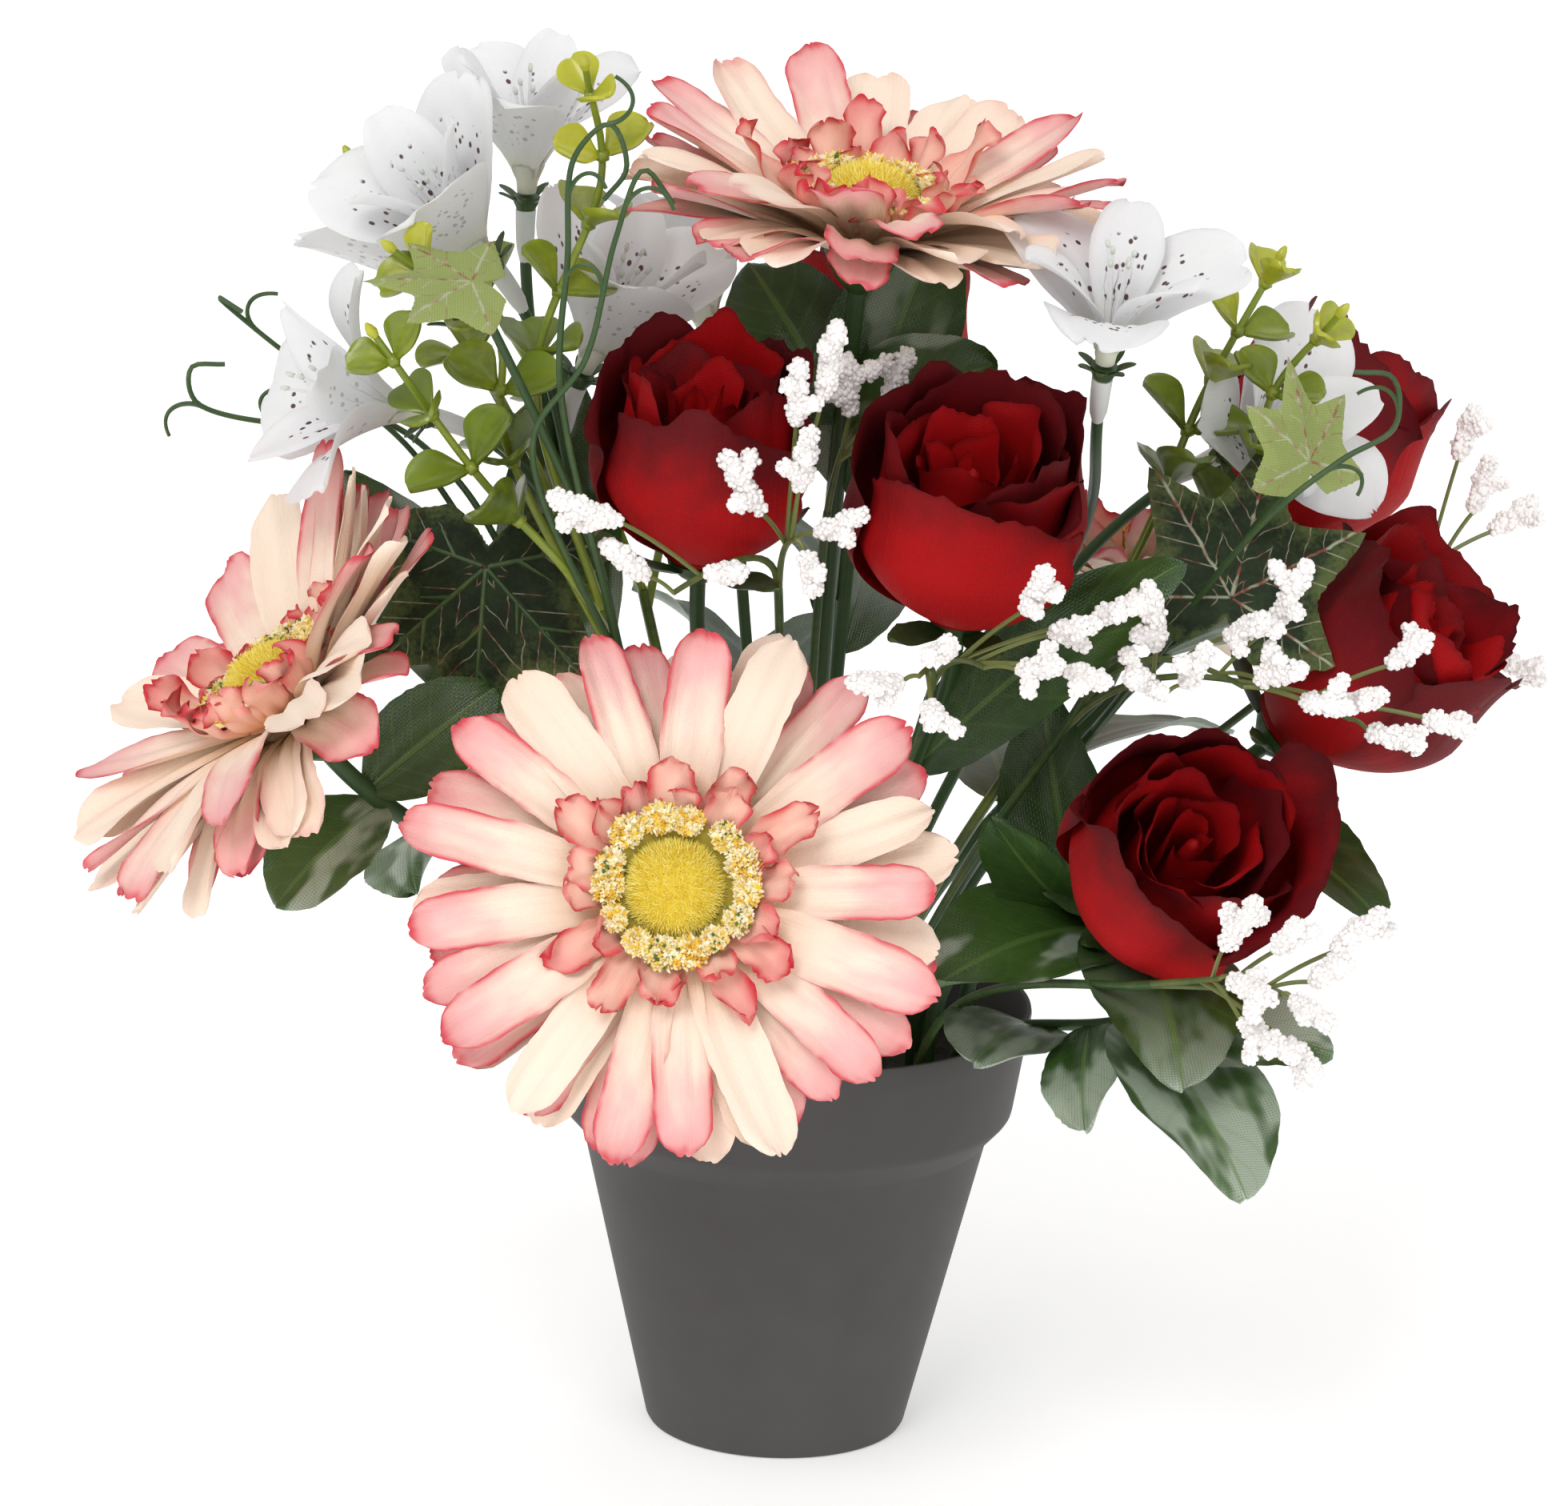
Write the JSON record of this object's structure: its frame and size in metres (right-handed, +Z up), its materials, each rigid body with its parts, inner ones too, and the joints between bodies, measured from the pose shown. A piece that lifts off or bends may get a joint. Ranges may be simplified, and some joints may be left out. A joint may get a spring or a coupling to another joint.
{
  "type": "potted gerbera arrangement",
  "caption": "Artificial arrangement of gerberas, roses, alstroemerias, box, ivy, gypsophila and cloth leaves, standing in set filler in a plain tapered plastic pot.",
  "frame": {"origin": "centre of the pot's flat underside, which rests on the surface below", "axes": "+Z up along the pot's axis; -Y towards the front, where the largest gerbera faces; +X to the right seen from the front"},
  "size_m": [0.3516, 0.2839, 0.3494],
  "materials": {
    "pot_plastic": "matte",
    "set_filler": "matte",
    "gerbera_petal_cloth": "matte",
    "gerbera_ruffle_cloth": "matte",
    "gerbera_eye_flock": "matte",
    "gerbera_stem_green": "satin",
    "rose_petal_cloth": "matte",
    "rose_stem_green": "satin",
    "alstroemeria_petal_cloth": "matte",
    "alstroemeria_stem_green": "satin",
    "box_leaf_plastic": "satin",
    "ivy_leaf_cloth": "matte",
    "gypsophila_bead": "matte",
    "leaf_cloth": "satin"
  },
  "bodies": {
    "root": {"alstroemeria_bloom_left_behind": "alstroemeria_petal_cloth", "alstroemeria_bloom_left_front": "alstroemeria_petal_cloth", "alstroemeria_bloom_left_inner": "alstroemeria_petal_cloth", "alstroemeria_bloom_left_outer": "alstroemeria_petal_cloth", "alstroemeria_bloom_left_upper": "alstroemeria_petal_cloth", "alstroemeria_bloom_rear": "alstroemeria_petal_cloth", "alstroemeria_bloom_right_outer": "alstroemeria_petal_cloth", "alstroemeria_bloom_right_upper": "alstroemeria_petal_cloth", "alstroemeria_stem_left": "alstroemeria_stem_green", "alstroemeria_stem_rear": "alstroemeria_stem_green", "alstroemeria_stem_right": "alstroemeria_stem_green", "box_spray_left": "box_leaf_plastic", "box_spray_rear": "box_leaf_plastic", "box_spray_right": "box_leaf_plastic", "filler": "set_filler", "gerbera_eye_front": "gerbera_eye_flock", "gerbera_eye_left": "gerbera_eye_flock", "gerbera_eye_rear": "gerbera_eye_flock", "gerbera_eye_top": "gerbera_eye_flock", "gerbera_petals_front": "gerbera_petal_cloth", "gerbera_petals_left": "gerbera_petal_cloth", "gerbera_petals_rear": "gerbera_petal_cloth", "gerbera_petals_top": "gerbera_petal_cloth", "gerbera_ruffle_front": "gerbera_ruffle_cloth", "gerbera_ruffle_left": "gerbera_ruffle_cloth", "gerbera_ruffle_rear": "gerbera_ruffle_cloth", "gerbera_ruffle_top": "gerbera_ruffle_cloth", "gerbera_stem_front": "gerbera_stem_green", "gerbera_stem_left": "gerbera_stem_green", "gerbera_stem_rear": "gerbera_stem_green", "gerbera_stem_top": "gerbera_stem_green", "gypsophila_spray_centre": "gypsophila_bead", "gypsophila_spray_front": "gypsophila_bead", "gypsophila_spray_low": "gypsophila_bead", "gypsophila_spray_middle": "gypsophila_bead", "gypsophila_spray_right": "gypsophila_bead", "gypsophila_spray_right_rear": "gypsophila_bead", "ivy_spray_left": "ivy_leaf_cloth", "ivy_spray_right": "ivy_leaf_cloth", "ivy_spray_upper_left": "ivy_leaf_cloth", "leaf_spray_left": "leaf_cloth", "leaf_spray_rear": "leaf_cloth", "leaf_spray_right": "leaf_cloth", "pot": "pot_plastic", "rose_bloom_centre": "rose_petal_cloth", "rose_bloom_centre_left": "rose_petal_cloth", "rose_bloom_rear": "rose_petal_cloth", "rose_bloom_right": "rose_petal_cloth", "rose_bloom_right_low": "rose_petal_cloth", "rose_bloom_right_rear": "rose_petal_cloth", "rose_stem_centre": "rose_stem_green", "rose_stem_centre_left": "rose_stem_green", "rose_stem_rear": "rose_stem_green", "rose_stem_right": "rose_stem_green", "rose_stem_right_low": "rose_stem_green", "rose_stem_right_rear": "rose_stem_green"}
  },
  "joints": []
}
